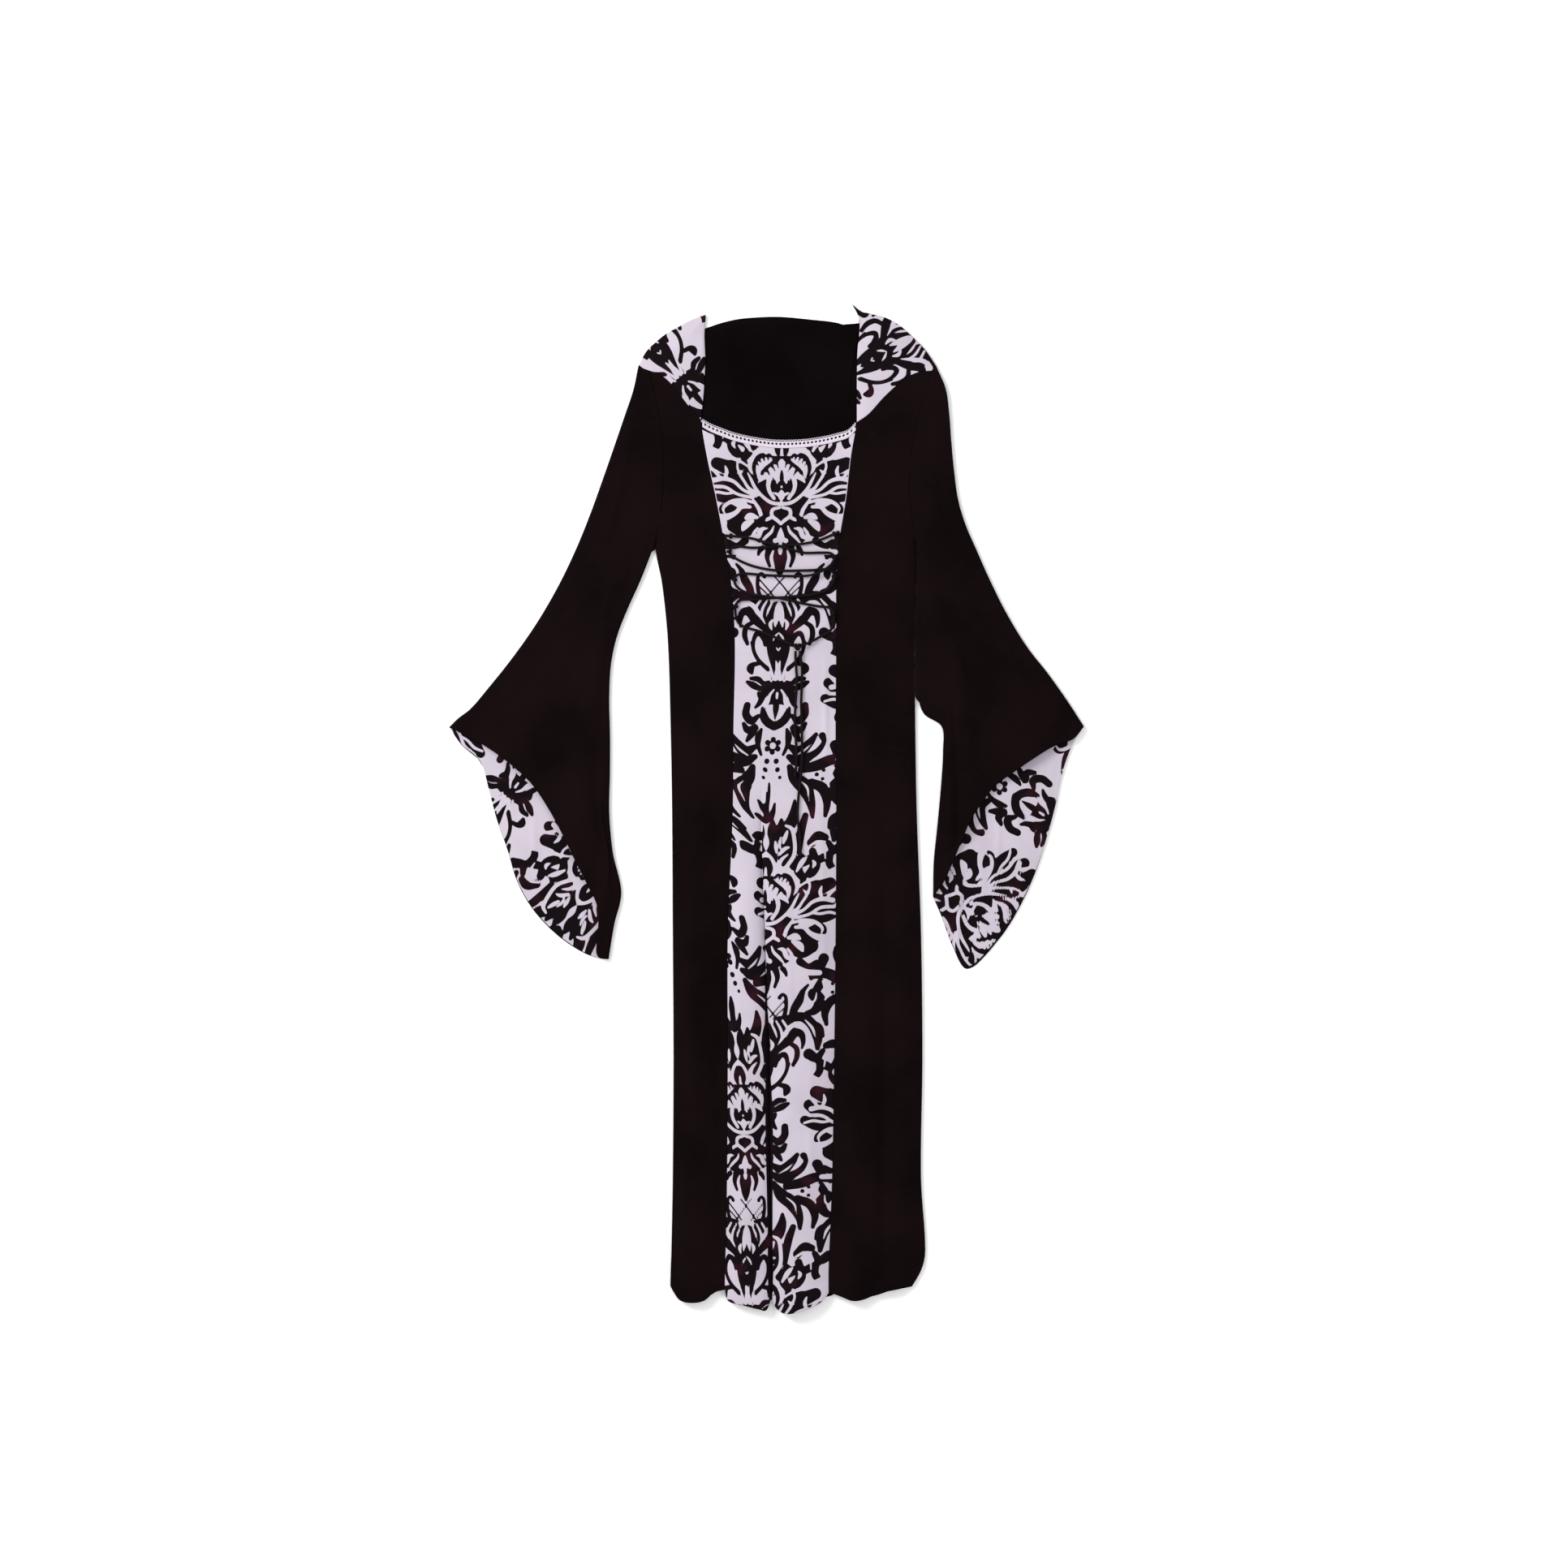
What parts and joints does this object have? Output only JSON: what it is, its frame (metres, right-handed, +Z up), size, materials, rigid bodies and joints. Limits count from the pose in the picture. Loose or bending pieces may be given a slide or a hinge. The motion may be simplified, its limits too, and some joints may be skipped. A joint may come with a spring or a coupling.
{
  "type": "medieval dress",
  "caption": "Long laced gown with bell sleeves, square neck and a patterned front panel, laid flat on its back.",
  "frame": {"origin": "centre of the gown's outline, on the surface that it lies on", "axes": "+Y up the gown from hem to neck, +X to the right of the picture, +Z up from the surface"},
  "size_m": [0.9, 1.4304, 0.0187],
  "materials": {
    "velvet": "matte short pile, near black with a red-brown cast",
    "damask": "smooth pale lilac cloth with a dark plum damask print",
    "braid": "pale picot braid",
    "cord": "black twisted cord"
  },
  "bodies": {
    "root": {"back_panel": "velvet", "front_side_left": "velvet", "front_side_right": "velvet", "center_panel": "damask", "yoke_left": "damask", "yoke_right": "damask", "sleeve_left": "velvet", "sleeve_right": "velvet", "sleeve_lining_left": "damask", "sleeve_lining_right": "damask", "neck_trim": "braid", "loop_left_1": "cord", "loop_left_2": "cord", "loop_left_3": "cord", "loop_left_4": "cord", "loop_left_5": "cord", "loop_right_1": "cord", "loop_right_2": "cord", "loop_right_3": "cord", "loop_right_4": "cord", "loop_right_5": "cord", "lace_a": "cord", "lace_b": "cord", "lace_knot": "cord", "lace_end_a": "cord", "lace_end_b": "cord"}
  },
  "joints": []
}
